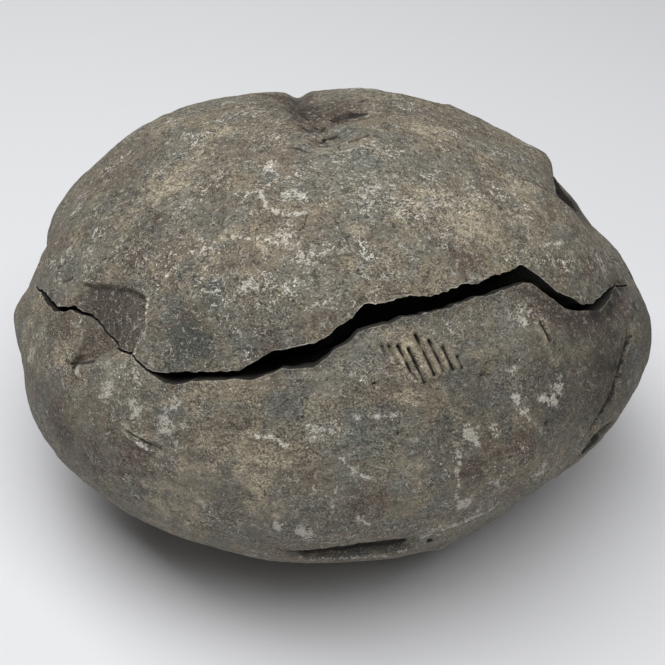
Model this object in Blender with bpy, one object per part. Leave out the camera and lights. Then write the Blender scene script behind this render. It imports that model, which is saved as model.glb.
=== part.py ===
"""A closed, weathered mudstone nodule of the kind that holds an ammonite, broken right round its girdle.

It is two pieces: upper_half, a cap, rests on lower_half, a bowl. Both share one skin, an uneven
ellipsoid with swellings, hollows, scars, ledges, grooves and rib marks, and each has its own side of
the break. Points on the skin are given as (bearing, rise) in degrees: bearing runs anticlockwise
from +X seen from above, so -90 is the front, and rise is measured up from the widest level.
"""

import math

import bmesh
import bpy
import numpy as np
from mathutils import Vector, noise

MM = 0.001

# The nodule's half-axes from its widest level, in millimetres
HALF_WIDTH = 60.0
HALF_DEPTH = 54.0
CROWN_HEIGHT = 42.0
KEEL_DEPTH = 33.5
REST_DEPTH = 32.0  # the worn flat that it stands on lies this far below the widest level

# Broad swellings and hollows of the skin: bearing, rise, angular width, height in mm
SWELLINGS = (
    (-9, 5, 15, 3.6),  # the fuller right-hand end
    (13, 28, 12, -2.6),  # flattened shoulder at the right, behind
    (31, 38, 13, 1.8),
    (26, 38, 4, 1.2),
    (26, 28, 4, -1.0),
    (40, 45, 8, -0.3),
    (68, 52, 16, 1.2),
    (89, 54, 9, -0.6),
    (98, 63, 11, -1.0),  # the saddle between the crown's two lobes
    (110, 53, 7, 0.4),
    (132, 48, 10, -0.3),
    (138, 44, 20, 1.9),
    (155, 35, 6, -0.4),
    (158, 34, 10, 0.9),
    (170, 25, 9, 0.7),
    (178, 20, 8, -1.2),
    (-174, 11, 5, 1.0),
    (-165, 1, 8, -1.7),
    (-52, -20, 17, -1.7),  # flattened flank at the right, low down in front
    (-64, -32, 10, 1.0),
    (-68, -24, 2.4, 0.8),
    (-124, -23, 13, 0.65),
    (-19, -2, 9, -0.1),
    (9, 17, 6, 1.1),
    (-92, 6, 15, 1.2),  # belly of the bowl
    (-118, 58, 14, 0.9),
    (-62, 60, 14, 0.8),
    (-150, -20, 13, 1.0),
    (-136, -44, 14, -1.2),
    (-70, -46, 16, 1.1),
    (95, 22, 13, 1.3),
    (58, 8, 12, -1.3),
    (20, -18, 12, 1.2),
    (125, -8, 15, -1.4),
    (160, 2, 12, 1.1),
    (85, -30, 14, 1.2),
)

# The break round the cap's edge: bearing, rise
CAP_EDGE = (
    (-170, 23.5),
    (-164, 26.5),
    (-161, 28.3),
    (-158, 28.7),
    (-155, 29.2),
    (-151.5, 31.6),
    (-150.5, 32.8),
    (-148, 32.8),
    (-144, 33.9),
    (-141, 33.9),
    (-137, 33.0),
    (-133, 32.1),
    (-128, 32.8),
    (-124, 31.1),
    (-120, 31.8),
    (-116, 33.6),
    (-110, 35.2),
    (-106, 36.0),
    (-103, 38.6),
    (-100, 40.8),
    (-95, 42.3),
    (-91, 43.0),
    (-86, 46.4),
    (-83, 48.0),
    (-80, 50.2),
    (-76, 50.2),
    (-70, 50.2),
    (-62, 49.1),
    (-54, 49.4),
    (-52, 48.4),
    (-47, 48.5),
    (-42, 47.7),
    (-35, 46.5),
    (-33.7, 43.0),
    (-32.6, 38.0),
    (-29.5, 34.0),
    (-28.5, 31.9),
    (-25, 30.0),
    (-18, 28.1),
    (-12, 25.0),
    (-10, 23.0),
    (-4, 17.5),
    (0, 18.0),
    (1.0, 26.0),
    (1.4, 36.0),
    (1.9, 40.0),
    (3.0, 42.4),
    (6, 42.8),
    (10, 41.2),
    (14.5, 39.0),
    (22.5, 36.5),
    (26, 35.0),
    (29, 30.0),
    (36, 24.0),
    (44, 25.0),
    (54, 19.0),
    (62, 20.0),
    (72, 14.0),
    (84, 12.0),
    (92, 14.0),
    (102, 9.5),
    (112, 12.0),
    (124, 10.0),
    (134, 14.5),
    (146, 13.0),
    (156, 17.0),
    (166, 15.5),
    (174, 19.0),
    (182, 19.5),
)

# Where the bowl's lip has crumbled away from the cap's edge: bearing, rise
BOWL_LIP = (
    (-124, 31.0),
    (-121, 30.2),
    (-118, 30.0),
    (-112, 32.7),
    (-107, 34.0),
    (-104, 34.4),
    (-101, 35.7),
    (-98, 37.7),
    (-92, 38.0),
    (-90, 39.6),
    (-87, 42.0),
    (-84, 43.2),
    (-82, 44.9),
    (-79, 45.5),
    (-72, 46.6),
    (-61, 46.2),
    (-53, 45.8),
    (-45, 44.8),
    (-39, 43.9),
    (-37, 42.4),
    (-36, 39.0),
    (-33.5, 34.0),
    (-30, 31.0),
    (-25, 27.6),
    (-18, 26.4),
    (-13, 25.0),
    (0.5, 18.0),
    (1.5, 26.0),
    (2.2, 35.0),
    (3.2, 38.5),
    (6, 36.5),
    (10, 32.0),
    (14, 27.5),
    (17.5, 24.5),
    (19, 25.5),
    (21, 28.0),
    (24, 30.5),
    (27, 31.0),
)

HAIRLINE = 0.45  # mm between the two pieces where the break is tight
INNER_GAP = 0.6  # mm between the two faces of the break, inside

# Where the break stands a little more open at the left: bearing, degrees
PARTING = ((-166, 0.0), (-160, 1.0), (-151, 0.9), (-146, 0.1), (-130, 0.0), (0, 0.0))

# The hidden faces of the break: a slightly sloped floor, with a bank rising to the edge all round
FLOOR_HEIGHT = 10.0
FLOOR_SLOPE = 0.2  # mm down for each mm from front to back
BANK_WIDTH = 8.0

# How far both lips of the break are worn back: bearing, depth in mm, reach in mm
LIP_WEAR = (
    (-175, 1.4, 6.0),
    (-162, 0.6, 3.0),
    (-140, 0.2, 1.5),
    (-90, 0.12, 1.0),
    (-20, 0.2, 1.5),
    (0, 0.7, 3.0),
    (60, 0.9, 3.0),
    (120, 0.8, 3.0),
    (160, 0.9, 4.0),
    (178, 1.7, 6.0),
)

# Grooves: half-width in mm, depth in mm, then the line that it follows
GROOVES = {
    "crown_saddle": (1.9, 1.3, ((98, 44), (99, 54), (102, 64), (103, 71))),
    "crown_valley": (3.6, 0.7, ((104, 68), (100, 79), (70, 87))),
    "crown_pucker": (1.1, 0.8, ((79, 81.5), (67, 79.5), (57, 76))),
    "right_seam": (
        0.35,
        0.9,
        ((-18, 16.8), (-22.6, 14.9), (-25.5, 12.7), (-28.4, 9.2), (-30.8, 6.5), (-33.7, 4.0), (-36.4, 1.6)),
    ),
    "right_undercut": (
        0.8,
        3.0,
        ((-30, -3.5), (-33.5, -2.4), (-36.4, -2.4), (-39, -6), (-42, -10), (-46, -14)),
    ),
    "left_fold": (0.4, 0.5, ((-124.2, 16.8), (-122, 16.3), (-119.8, 15.6), (-117.8, 15.0))),
    "back_seam": (1.2, 1.0, ((120, -2), (110, 1), (101, -2), (92, -8))),
}

# Raised lines: half-width in mm, height in mm, then the line
RIDGES = {
    "left_wrinkle": (0.6, 0.5, ((-124.2, 16.0), (-121.6, 15.3), (-119.6, 14.4))),
    "upper_wrinkle": (0.5, 0.4, ((-124.4, 17.6), (-122.7, 17.2), (-119.6, 16.6))),
    "slot_lip": (1.8, 0.7, ((-96, -15.5), (-88, -16.5), (-80, -17.5), (-74, -16), (-69, -13))),
    "pale_ridge": (0.7, 0.35, ((-102.2, 23.8), (-98.8, 23.4), (-97.1, 22.7), (-95.1, 21.7))),
}

# Steps: the skin on the right of the line, looking along it from outside, stands lower by this depth
# and comes back over this distance
LEDGES = {
    "cap_scar": (
        1.0,
        12.0,
        (
            (-150, 38.8),
            (-145.6, 41.2),
            (-138.2, 43.9),
            (-133.4, 44.0),
            (-131.6, 42),
            (-129, 39),
            (-128.6, 31),
        ),
    ),
    "lower_slot": (
        2.4,
        3.6,
        ((-95.3, -9.2), (-92.4, -7.9), (-87.7, -6.9), (-83, -6.8), (-79.3, -6.6), (-76.6, -7.2)),
    ),
    "bowl_scar": (
        1.3,
        6.0,
        (
            (-134, 31.5),
            (-135.9, 28.6),
            (-136.6, 26.9),
            (-139, 24.9),
            (-141.9, 22.6),
            (-141.2, 25.9),
            (-142, 28.5),
            (-143.5, 30.9),
            (-145.9, 32.6),
        ),
    ),
    "belly_ledge": (
        0.5,
        9.0,
        (
            (-95, 21),
            (-99, 22.6),
            (-103, 23.7),
            (-106.6, 23.1),
            (-109.6, 21.9),
            (-109.8, 20.8),
            (-111.9, 18.4),
            (-117, 14.6),
        ),
    ),
    "right_rind": (
        0.5,
        3.0,
        ((-18, 16.8), (-22.6, 14.9), (-25.5, 12.7), (-28.4, 9.2), (-30.8, 6.5), (-33.7, 4.0), (-36.4, 1.6)),
    ),
    "back_scar": (1.3, 9.0, ((150, 12), (146, 4), (136, -3), (124, -6))),
    "rear_flake": (1.1, 8.0, ((40, 25), (44, 14), (54, 8), (66, 10))),
    "crown_scar": (0.9, 9.0, ((60, 40), (50, 47), (52, 56), (66, 60))),
}
LEDGE_RAMP = 0.8  # mm that each step takes to drop
NARROWEST = 0.9  # mm, the least half-width that the mesh can show

# Pits: bearing, rise, half-width in mm, depth in mm
PITS = (
    (-59.2, 31, 1.0, 0.5),
    (-57.2, 32.6, 0.7, 0.4),
    (-61.3, 36.5, 0.8, 0.5),
    (-52.2, 30.7, 0.8, 0.4),
    (-80.4, 34.1, 0.5, 0.5),
    (-49.3, 14.4, 0.6, 0.6),
    (-10, 23.2, 1.6, 0.8),
    (-11.8, 17.3, 0.9, 0.6),
    (-158.3, 34.4, 2.6, 0.5),
    (111, 84.4, 1.9, 0.7),
    (44, 87, 2.2, 0.8),
    (-133, 76.5, 2.6, 0.6),
    (-80.5, 51, 1.4, 0.7),
    (-39, 8, 5.0, 0.8),
    (30, -12, 4.5, 1.3),
    (62, 38, 3.5, 1.1),
    (118, 32, 3.8, 1.0),
    (150, -16, 5.0, 1.3),
    (-160, -32, 4.5, 1.1),
    (-25, -38, 5.0, 1.2),
    (100, -44, 5.5, 1.3),
)

# The short rows of ribs that show through in front, one groove each: bearing and rise of its top,
# bearing and rise of its foot, depth in mm
RIB_GROOVES = (
    (-77.7, 41.6, -77.3, 39.6, 0.4),
    (-76.3, 41.5, -75.1, 37.6, 0.6),
    (-74.4, 41.2, -72.6, 33.9, 0.8),
    (-72.4, 40.3, -70.9, 32.9, 0.9),
    (-70.0, 42.7, -68.6, 34.1, 0.9),
    (-67.5, 41.0, -66.6, 34.4, 0.9),
    (-65.1, 39.1, -64.6, 34.1, 0.9),
    (-62.8, 36.4, -62.7, 33.9, 0.6),
    (-44.3, 33.0, -44.2, 32.2, 0.5),
    (-41.5, 35.2, -41.9, 31.0, 0.9),
)
RIB_HALF_WIDTH = 0.45
RIB_PITCH = 1.5  # mm from groove to groove, at the ridge between

# Uneven ground of the whole skin: wavelength and height in mm
UNEVENNESS = ((24.0, 0.9), (10.0, 0.45), (5.0, 0.18))
FACE_UNEVENNESS = ((12.0, 1.1), (5.0, 0.5))

# Mesh: columns round the nodule, and rows on the skin and on the face of the break
COLUMNS = 84
FRONT_CROWDING = 0.3  # columns stand closer together at the front
CAP_ROWS = (14, 5)
BOWL_ROWS = (21, 5)


def direction(bearing, rise):
    bearing = np.radians(bearing)
    rise = np.radians(rise)
    return np.stack([np.cos(rise) * np.cos(bearing), np.cos(rise) * np.sin(bearing), np.sin(rise)], -1)


def skin(bearing, rise):
    """Points of the plain swollen skin, in mm from the middle of the widest level."""
    towards = direction(bearing, rise)
    crown_or_keel = np.where(towards[..., 2] > 0, CROWN_HEIGHT, KEEL_DEPTH)
    plain = towards * np.stack(
        [np.full_like(crown_or_keel, HALF_WIDTH), np.full_like(crown_or_keel, HALF_DEPTH), crown_or_keel], -1
    )
    height = np.zeros(towards.shape[:-1])
    for swell_bearing, swell_rise, width, swell in SWELLINGS:
        angle = np.degrees(np.arccos(np.clip(towards @ direction(swell_bearing, swell_rise), -1, 1)))
        height = height + swell * np.exp(-((angle / width) ** 2))
    return plain * (1 + height / np.linalg.norm(plain, axis=-1))[..., None]


def outward(bearing, rise):
    """Unit normals of the plain ellipsoid."""
    towards = direction(bearing, rise)
    crown_or_keel = np.where(towards[..., 2] > 0, CROWN_HEIGHT, KEEL_DEPTH)
    normal = towards / np.stack(
        [np.full_like(crown_or_keel, HALF_WIDTH), np.full_like(crown_or_keel, HALF_DEPTH), crown_or_keel], -1
    )
    return normal / np.linalg.norm(normal, axis=-1, keepdims=True)


def around(bearing, table, column=1):
    """A value from a table that is listed by bearing, carried round the full circle."""
    rows = sorted((row[0] % 360, row[column]) for row in table)
    return np.interp(np.mod(bearing, 360), [row[0] for row in rows], [row[1] for row in rows], period=360)


def along(points, normals, line):
    """How far each point is from a line on the skin, on which side, and how far past its ends."""
    corners = skin(*np.array(line, float).T)
    best = np.full(len(points), np.inf)
    side = np.zeros(len(points))
    past = np.zeros(len(points))
    last = len(corners) - 2
    for index in range(len(corners) - 1):
        start = corners[index]
        step = corners[index + 1] - start
        length = np.linalg.norm(step)
        step = step / length
        reach = (points - start) @ step
        held = np.clip(reach, 0, length)
        away = points - start - held[:, None] * step
        distance = np.linalg.norm(away, axis=1)
        nearer = distance < best
        best = np.where(nearer, distance, best)
        side = np.where(nearer, np.sign(np.einsum("ij,ij->i", away, np.cross(step, normals))), side)
        over = np.zeros(len(points))
        if index == 0:
            over = np.maximum(over, -reach)
        if index == last:
            over = np.maximum(over, reach - length)
        past = np.where(nearer, over, past)
    return best, side, past


def hump(distance, width):
    return np.exp(-((distance / width) ** 2))


def relief(points, normals):
    """Height of the local features over the plain skin, in mm."""
    height = np.zeros(len(points))
    for width, depth, line in GROOVES.values():
        distance, _, _ = along(points, normals, line)
        height -= depth * hump(distance, max(width, NARROWEST))
    for width, tall, line in RIDGES.values():
        distance, _, _ = along(points, normals, line)
        height += tall * hump(distance, max(width, NARROWEST))
    for depth, reach, line in LEDGES.values():
        distance, side, past = along(points, normals, line)
        inside = np.clip(side * distance / LEDGE_RAMP, 0, 1)
        height -= depth * inside * hump(distance, reach) * hump(past, 2.5)
    for bearing, rise, width, depth in PITS:
        distance = np.linalg.norm(points - skin(float(bearing), float(rise)), axis=1)
        height -= depth * hump(distance, max(width, NARROWEST))
    for top_bearing, top, foot_bearing, foot, depth in RIB_GROOVES:
        distance, _, past = along(points, normals, ((top_bearing, top), (foot_bearing, foot)))
        taper = hump(past, 0.6)
        height -= depth * taper * hump(distance, RIB_HALF_WIDTH)
        height += 0.3 * depth * taper * hump(distance - 0.5 * RIB_PITCH, 0.4 * RIB_PITCH)
    return height


def rough(points, scales, seed):
    """Uneven ground at several wavelengths, in mm."""
    height = np.zeros(len(points))
    for wavelength, tall in scales:
        shift = Vector((seed, 2.7 * seed, wavelength))
        height += [tall * noise.noise(Vector(point) / wavelength + shift) for point in points]
    return height


def lip_wear(bearing, rise, edge):
    """How far the skin is worn back near the break, in mm."""
    gone = around(bearing, LIP_WEAR, 1)
    reach = around(bearing, LIP_WEAR, 2)
    distance = np.radians(np.abs(rise - edge)) * 0.5 * (HALF_DEPTH + CROWN_HEIGHT)
    return gone * np.exp(-distance / reach)


def outer(bearing, rise):
    """The finished skin."""
    points = skin(bearing, rise)
    normals = outward(bearing, rise)
    height = relief(points, normals) + rough(points, UNEVENNESS, 3.0)
    height -= lip_wear(bearing, rise, around(bearing, CAP_EDGE))
    points = points + height[:, None] * normals
    points[:, 2] = np.maximum(points[:, 2], -REST_DEPTH)
    return points


def edge_of(bearing, cap):
    """Rise of one piece's edge."""
    edge = around(bearing, CAP_EDGE)
    if cap:
        return edge
    tight = edge - np.degrees(HAIRLINE / 45) - around(bearing, PARTING)
    lip = around(bearing, BOWL_LIP)
    low, high = BOWL_LIP[0][0], BOWL_LIP[-1][0]
    turned = (bearing - low) % 360
    return np.where(turned < high - low, np.minimum(lip, tight), tight)


def break_face(bearing, inwards, cap):
    """A face of the break, from the edge (inwards 0) to its middle (inwards 1)."""
    rim = outer(bearing, edge_of(bearing, cap))
    flat = rim[:, :2] * (1 - inwards)[:, None]
    depth = np.linalg.norm(rim[:, :2], axis=1) * inwards

    def floor(place):
        return FLOOR_HEIGHT - FLOOR_SLOPE * place[:, 1]

    bank = (rim[:, 2] - floor(rim)) * np.exp(-((depth / BANK_WIDTH) ** 2))
    ground = np.column_stack([flat, np.zeros(len(flat))])
    grit = rough(ground, FACE_UNEVENNESS, 11.0) * np.clip(depth / 4, 0, 1)
    height = floor(flat) + bank + grit
    height += (0.5 if cap else -0.5) * INNER_GAP * np.clip(depth / 3, 0, 1)
    return np.column_stack([flat, height])


def where(spots, rows, cap):
    """Bearing and rise on one piece of a unit sphere's points, whether each is on the skin, and how far it
    lies inwards on the face of the break. The sphere's lower rows make the cap's broken face."""
    skin_rows, face_rows = rows
    turn = np.degrees(np.arctan2(spots[:, 1], spots[:, 0]))
    bearing = turn - 90 - FRONT_CROWDING * np.degrees(np.sin(np.radians(turn)))
    polar = np.arccos(np.clip(spots[:, 2] if cap else -spots[:, 2], -1, 1)) / math.pi
    row = np.round(polar * (skin_rows + face_rows), 4)
    edge = edge_of(bearing, cap)
    share = np.clip(row / skin_rows, 0, 1)
    if cap:
        rise = 90 - (90 - edge) * share
    else:
        rise = -90 + (90 + edge) * share**0.8
    inwards = np.clip((row - skin_rows) / face_rows, 0, 1) ** 1.5
    return bearing, rise, row <= skin_rows, inwards


def place(spots, rows, cap):
    """Moves a unit sphere's points onto one piece."""
    bearing, rise, on_skin, inwards = where(spots, rows, cap)
    points = np.empty_like(spots)
    points[on_skin] = outer(bearing[on_skin], rise[on_skin])
    points[~on_skin] = break_face(bearing[~on_skin], inwards[~on_skin], cap)
    return points


# Where the skin needs a finer mesh: on the cap or not, times halved, reach in mm, and the line that it
# follows
RIB_LINE = ((-77, 39.6), (-71, 37.6), (-64, 36.8))
RIB_SCAR_LINE = ((-44, 33.4), (-41.7, 34), (-41.7, 31.5))
FINE_LINES = (
    (False, 1, 4.5, RIB_LINE),
    (False, 1, 3.6, RIB_LINE),
    (False, 1, 2.0, RIB_SCAR_LINE),
    (False, 1, 1.8, GROOVES["right_seam"][2]),
    (False, 1, 1.8, GROOVES["right_undercut"][2]),
    (False, 2, 1.4, LEDGES["lower_slot"][2]),
    (False, 1, 1.6, LEDGES["bowl_scar"][2]),
    (False, 1, 1.6, GROOVES["left_fold"][2]),
    (False, 1, 1.0, LEDGES["belly_ledge"][2]),
    (True, 1, 1.4, LEDGES["cap_scar"][2]),
    (True, 1, 2.0, GROOVES["crown_saddle"][2]),
)


def refine(mesh, rows, cap):
    """Splits the sphere's faces where small features lie."""
    for is_cap, times, reach, line in FINE_LINES:
        if is_cap != cap:
            continue
        for _ in range(times):
            mesh.verts.index_update()
            spots = np.array([vert.co for vert in mesh.verts])
            bearing, rise, on_skin = where(spots, rows, cap)[:3]
            points = skin(bearing, rise)
            distance = along(points, outward(bearing, rise), line)[0]
            near = on_skin & (distance < reach)
            faces = [face for face in mesh.faces if any(near[vert.index] for vert in face.verts)]
            faces = [face for face in faces if all(on_skin[vert.index] for vert in face.verts)]
            edges = {edge for face in faces for edge in face.edges}
            edges = sorted(edges, key=lambda edge: edge.index)
            bmesh.ops.subdivide_edges(mesh, edges=edges, cuts=1, use_grid_fill=True)
            mesh.edges.index_update()


def make_piece(name, rows, cap, material, collection):
    mesh = bmesh.new()
    bmesh.ops.create_uvsphere(mesh, u_segments=COLUMNS, v_segments=sum(rows), radius=1)
    mesh.edges.index_update()
    refine(mesh, rows, cap)
    spots = np.array([vert.co for vert in mesh.verts])
    points = place(spots, rows, cap)
    points[:, 2] += REST_DEPTH
    for vert, point in zip(mesh.verts, points):
        vert.co = point * MM
    bmesh.ops.triangulate(mesh, faces=[face for face in mesh.faces if len(face.verts) > 4])
    data = bpy.data.meshes.new(name)
    mesh.to_mesh(data)
    mesh.free()
    data.materials.append(material)
    data.shade_smooth()
    data.set_sharp_from_angle(angle=math.radians(38))
    piece = bpy.data.objects.new(name, data)
    collection.objects.link(piece)
    return piece


def stone(name, colour, roughness):
    material = bpy.data.materials.new(name)
    material.use_nodes = True
    shader = material.node_tree.nodes["Principled BSDF"]
    shader.inputs["Base Color"].default_value = (*colour, 1)
    shader.inputs["Roughness"].default_value = roughness
    return material


def main():
    for old in list(bpy.data.objects):
        bpy.data.objects.remove(old, do_unlink=True)
    collection = bpy.data.collections.new("fossil_nodule")
    bpy.context.scene.collection.children.link(collection)
    upper = stone("upper_stone", (0.165, 0.145, 0.118), 0.85)
    lower = stone("lower_stone", (0.125, 0.115, 0.098), 0.85)
    make_piece("upper_half", CAP_ROWS, True, upper, collection)
    make_piece("lower_half", BOWL_ROWS, False, lower, collection)


main()
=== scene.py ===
"""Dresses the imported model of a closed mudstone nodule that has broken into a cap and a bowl.

Each CAD half is replaced by a fine mesh of the same form: one uneven ellipsoid with swellings,
ledges, grooves, pits and rib marks, cut by a jagged break. Lengths are in millimetres until a mesh
is made. Places on the skin are (bearing, rise) in degrees: bearing runs anticlockwise from +X seen
from above, so -90 is the front, and rise is measured up from the nodule's widest level.
"""

import math

import bmesh
import bpy
import numpy as np
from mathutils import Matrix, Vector, noise

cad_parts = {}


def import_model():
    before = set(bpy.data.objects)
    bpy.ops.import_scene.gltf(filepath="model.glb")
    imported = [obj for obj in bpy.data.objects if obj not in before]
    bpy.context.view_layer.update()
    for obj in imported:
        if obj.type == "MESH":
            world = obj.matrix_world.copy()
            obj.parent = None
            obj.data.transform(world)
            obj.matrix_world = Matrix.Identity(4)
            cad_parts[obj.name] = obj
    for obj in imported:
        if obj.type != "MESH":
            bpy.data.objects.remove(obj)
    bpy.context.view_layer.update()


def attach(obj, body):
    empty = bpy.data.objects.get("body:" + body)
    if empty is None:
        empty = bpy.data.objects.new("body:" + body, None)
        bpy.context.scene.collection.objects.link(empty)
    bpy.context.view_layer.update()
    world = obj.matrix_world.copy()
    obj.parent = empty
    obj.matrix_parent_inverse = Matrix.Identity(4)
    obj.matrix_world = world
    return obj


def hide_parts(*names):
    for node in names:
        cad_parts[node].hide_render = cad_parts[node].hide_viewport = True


MM = 0.001

# The nodule's half-axes from its widest level, in millimetres
HALF_WIDTH = 60.0
HALF_DEPTH = 54.0
CROWN_HEIGHT = 42.0
KEEL_DEPTH = 33.5
REST_DEPTH = 32.0  # how far below that level the worn flat lies that it stands on
MEAN_HEIGHT = 0.5 * (HALF_DEPTH + CROWN_HEIGHT)  # turns rise near the break into mm
EDGE_RADIUS = 45.0  # roughly how far the edge lies from the middle

# Broad swellings and hollows of the skin: bearing, rise, angular width, height in mm
SWELLINGS = (
    (-9, 5, 15, 3.6), (13, 28, 12, -2.6), (31, 38, 13, 1.8), (26, 38, 4, 1.2), (26, 28, 4, -1),
    (40, 45, 8, -0.3), (68, 52, 16, 1.2), (89, 54, 9, -0.6), (98, 63, 11, -1), (110, 53, 7, 0.4),
    (132, 48, 10, -0.3), (138, 44, 20, 1.9), (155, 35, 6, -0.4), (158, 34, 10, 0.9),
    (170, 25, 9, 0.7), (178, 20, 8, -1.2), (-174, 11, 5, 1), (-165, 1, 8, -1.7),
    (-52, -20, 17, -1.7), (-64, -32, 10, 1), (-68, -24, 2.4, 0.8), (-124, -23, 13, 0.65),
    (-19, -2, 9, -0.1), (9, 17, 6, 1.1), (-92, 6, 15, 1.2), (-118, 58, 14, 0.9), (-62, 60, 14, 0.8),
    (-150, -20, 13, 1), (-136, -44, 14, -1.2), (-70, -46, 16, 1.1), (95, 22, 13, 1.3),
    (58, 8, 12, -1.3), (20, -18, 12, 1.2), (125, -8, 15, -1.4), (160, 2, 12, 1.1),
    (85, -30, 14, 1.2),
)

# The break round the cap's edge: bearing, rise
CAP_EDGE = (
    (-170, 23.5), (-164, 26.5), (-161, 28.3), (-158, 28.7), (-155, 29.2), (-151.5, 31.6),
    (-150.5, 32.8), (-148, 32.8), (-144, 33.9), (-141, 33.9), (-137, 33), (-133, 32.1),
    (-128, 32.8), (-124, 31.1), (-120, 31.8), (-116, 33.6), (-110, 35.2), (-106, 36),
    (-103, 38.6), (-100, 40.8), (-95, 42.3), (-91, 43), (-86, 46.4), (-83, 48), (-80, 50.2),
    (-76, 50.2), (-70, 50.2), (-62, 49.1), (-54, 49.4), (-52, 48.4), (-47, 48.5), (-42, 47.7),
    (-35, 46.5), (-33.7, 43), (-32.6, 38), (-29.5, 34), (-28.5, 31.9), (-25, 30),
    (-18, 28.1), (-12, 25), (-10, 23), (-4, 17.5), (0, 18), (1, 26), (1.4, 36),
    (1.9, 40), (3, 42.4), (6, 42.8), (10, 41.2), (14.5, 39), (22.5, 36.5), (26, 35),
    (29, 30), (36, 24), (44, 25), (54, 19), (62, 20), (72, 14), (84, 12), (92, 14),
    (102, 9.5), (112, 12), (124, 10), (134, 14.5), (146, 13), (156, 17), (166, 15.5),
    (174, 19), (182, 19.5),
)

# Where the bowl's lip has crumbled away from the cap's edge: bearing, rise
BOWL_LIP = (
    (-124, 31), (-121, 30.2), (-118, 30), (-112, 32.7), (-107, 34), (-104, 34.4),
    (-101, 35.7), (-98, 37.7), (-92, 38), (-90, 39.6), (-87, 42), (-84, 43.2), (-82, 44.9),
    (-79, 45.5), (-72, 46.6), (-61, 46.2), (-53, 45.8), (-45, 44.8), (-39, 43.9), (-37, 42.4),
    (-36, 39), (-33.5, 34), (-30, 31), (-25, 27.6), (-18, 26.4), (-13, 25), (0.5, 18),
    (1.5, 26), (2.2, 35), (3.2, 38.5), (6, 36.5), (10, 32), (14, 27.5), (17.5, 24.5),
    (19, 25.5), (21, 28), (24, 30.5), (27, 31),
)

HAIRLINE = 0.45  # mm between the two pieces where the break is tight
INNER_GAP = 0.6  # mm between the two faces of the break, inside
GAP_START = 3.0  # mm inwards over which the two faces part to that gap

# Where the break stands a little more open at the left: bearing, degrees
PARTING = ((-166, 0), (-160, 1), (-151, 0.9), (-146, 0.1), (-130, 0), (0, 0))

# The hidden faces of the break: a slightly sloped floor, with a bank rising to the edge all round
FLOOR_HEIGHT = 10.0
FLOOR_SLOPE = 0.2  # mm down for each mm from front to back
BANK_WIDTH = 8.0
FACE_START = 4.0  # mm inwards over which the face grows rough

# How far both lips of the break are worn back: bearing, depth in mm, reach in mm
LIP_WEAR = (
    (-175, 1.4, 6), (-162, 0.6, 3), (-140, 0.2, 1.5), (-90, 0.12, 1), (-20, 0.2, 1.5), (0, 0.7, 3),
    (60, 0.9, 3), (120, 0.8, 3), (160, 0.9, 4), (178, 1.7, 6),
)

# Lines on the skin that more than one thing follows
CAP_SCAR = (
    (-150, 38.8), (-145.6, 41.2), (-138.2, 43.9), (-133.4, 44), (-131.6, 42), (-129, 39),
    (-128.6, 31),
)
BOWL_SCAR = (
    (-134, 31.5), (-135.9, 28.6), (-136.6, 26.9), (-139, 24.9), (-141.9, 22.6), (-141.2, 25.9),
    (-142, 28.5), (-143.5, 30.9), (-145.9, 32.6),
)
BELLY_LEDGE = (
    (-95, 21), (-99, 22.6), (-103, 23.7), (-106.6, 23.1), (-109.6, 21.9), (-109.8, 20.8),
    (-111.9, 18.4), (-117, 14.6),
)
PALE_RIDGE = ((-102.2, 23.8), (-98.8, 23.4), (-97.1, 22.7), (-95.1, 21.7))
LEFT_FOLD = ((-124.2, 16.8), (-122, 16.3), (-119.8, 15.6), (-117.8, 15))
RIGHT_SEAM = (
    (-18, 16.8), (-22.6, 14.9), (-25.5, 12.7), (-28.4, 9.2), (-30.8, 6.5), (-33.7, 4),
    (-36.4, 1.6),
)
RIGHT_UNDERCUT = ((-30, -3.5), (-33.5, -2.4), (-36.4, -2.4), (-39, -6), (-42, -10), (-46, -14))
LOWER_SLOT = (
    (-95.3, -9.2), (-92.4, -7.9), (-87.7, -6.9), (-83, -6.8), (-79.3, -6.6), (-76.6, -7.2),
)

# Grooves, and raised lines where the depth is below 0: half-width in mm, depth in mm, line
GROOVES = {
    "crown_saddle": (1.9, 1.3, ((98, 44), (99, 54), (102, 64), (103, 71))),
    "crown_valley": (3.6, 0.7, ((104, 68), (100, 79), (70, 87))),
    "crown_pucker": (1.1, 0.8, ((79, 81.5), (67, 79.5), (57, 76))),
    "right_seam": (0.35, 0.9, RIGHT_SEAM),
    "right_undercut": (0.8, 3, RIGHT_UNDERCUT),
    "left_fold": (0.4, 0.5, LEFT_FOLD),
    "back_seam": (1.2, 1, ((120, -2), (110, 1), (101, -2), (92, -8))),
    "left_wrinkle": (0.6, -0.5, ((-124.2, 16), (-121.6, 15.3), (-119.6, 14.4))),
    "upper_wrinkle": (0.5, -0.4, ((-124.4, 17.6), (-122.7, 17.2), (-119.6, 16.6))),
    "slot_lip": (1.8, -0.7, ((-96, -15.5), (-88, -16.5), (-80, -17.5), (-74, -16), (-69, -13))),
    "pale_ridge": (0.7, -0.35, PALE_RIDGE),
}

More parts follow.
